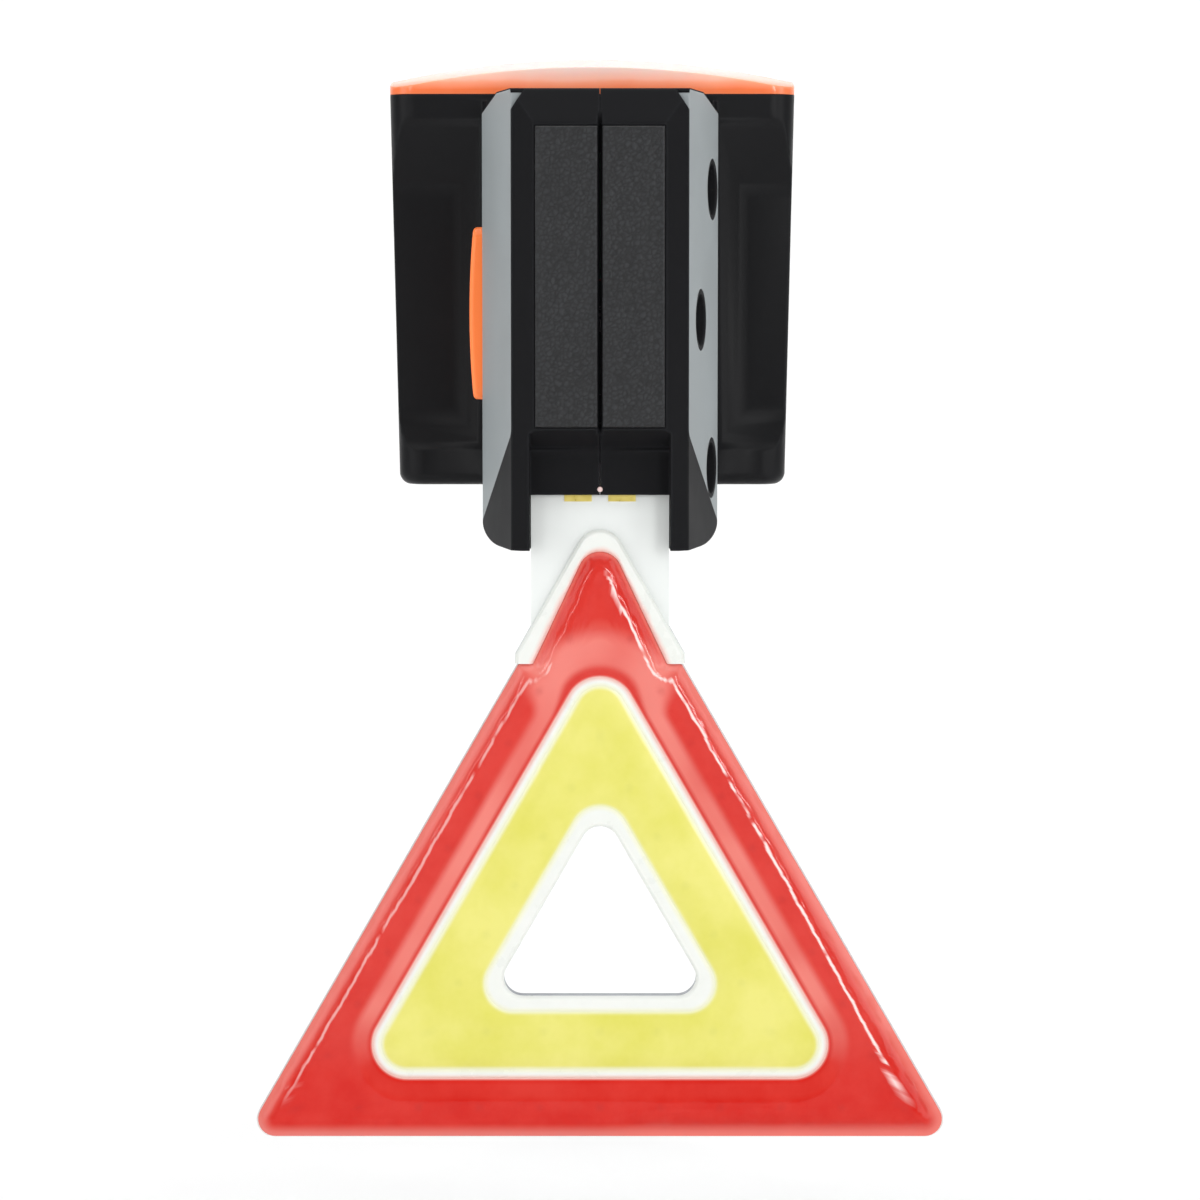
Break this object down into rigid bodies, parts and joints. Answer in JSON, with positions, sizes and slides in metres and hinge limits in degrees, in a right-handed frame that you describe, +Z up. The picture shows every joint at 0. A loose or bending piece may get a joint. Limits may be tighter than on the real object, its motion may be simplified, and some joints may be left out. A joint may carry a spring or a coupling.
{
  "type": "portable hazard warning lamp",
  "caption": "Hand-held hazard lamp: black head with amber lens, grey-sided clamshell grip with orange thumb button, and a hanging triangular red and yellow warning panel.",
  "frame": {"origin": "middle of the flat back face, on the face of the magnet", "axes": "+Z up towards the amber lens, the grip and panel face -Y, +X to the right seen from the front"},
  "size_m": [0.0758, 0.0549, 0.1203],
  "materials": {
    "black_plastic": "satin moulded",
    "amber_plastic": "gloss translucent",
    "seal_rubber": "matt",
    "grey_plastic": "fine texture",
    "pad_plastic": "leather grain",
    "orange_plastic": "satin",
    "white_board": "white coated",
    "red_silicone": "gloss",
    "yellow_silicone": "gloss",
    "white_silicone": "satin",
    "chip": "satin",
    "gold": "plated",
    "steel": "zinc plated",
    "magnet_nickel": "nickel plated",
    "silver_plastic": "metallised",
    "circuit_board": "green mask",
    "led_plastic": "clear",
    "battery_wrap": "shrink wrap",
    "inner_plastic": "moulded",
    "part_black": "moulded",
    "wire_red": "insulated",
    "clear_plastic": "clear"
  },
  "bodies": {
    "lamp": {"head_housing": "black_plastic", "back_cover": "black_plastic", "back_cover_screws": "steel", "neck_screws": "steel", "back_magnet": "magnet_nickel", "lens_amber": "amber_plastic", "lens_seal": "seal_rubber", "reflector": "silver_plastic", "beacon_board": "circuit_board", "beacon_leds": "led_plastic", "battery_cell": "battery_wrap", "battery_cradle": "inner_plastic", "control_board": "circuit_board", "board_screws": "steel", "board_components": "part_black", "charge_socket": "steel", "grip_shell_left": "black_plastic", "grip_shell_right": "black_plastic", "side_plate_left": "grey_plastic", "side_plate_right": "grey_plastic", "grip_pad_left": "pad_plastic", "grip_pad_right": "pad_plastic", "grip_screws": "steel", "switch_body": "part_black", "button_board": "circuit_board", "driver_board": "circuit_board", "driver_components": "part_black", "panel_socket": "inner_plastic", "contact_springs": "gold", "indicator_light": "clear_plastic", "panel_board": "white_board", "red_gel": "red_silicone", "yellow_gel": "yellow_silicone", "outer_dam": "white_silicone", "middle_dam": "white_silicone", "hole_dam": "white_silicone", "led_chips_red": "chip", "led_chips_yellow": "chip", "contact_pads": "gold", "panel_wires": "wire_red", "switch_wires": "wire_red", "battery_wires": "wire_red", "beacon_wires": "wire_red"},
    "thumb_button": {"thumb_button": "orange_plastic", "switch_plunger": "inner_plastic"},
    "charge_cover": {"charge_cover": "seal_rubber"}
  },
  "joints": [
    {"name": "thumb_press", "type": "slide", "parent": "lamp", "child": "thumb_button", "axis": [1, 0, 0], "range_m": [0, 0.0012], "stiffness_N_per_m": 300, "springref_m": -0.002},
    {"name": "charge_cover_hinge", "type": "hinge", "parent": "lamp", "child": "charge_cover", "pos_m": [0, -0.0117, -0.02245], "axis": [1, 0, 0], "range_deg": [0, 110], "stiffness_Nm_per_rad": 0.0002, "springref_deg": -28.65}
  ]
}
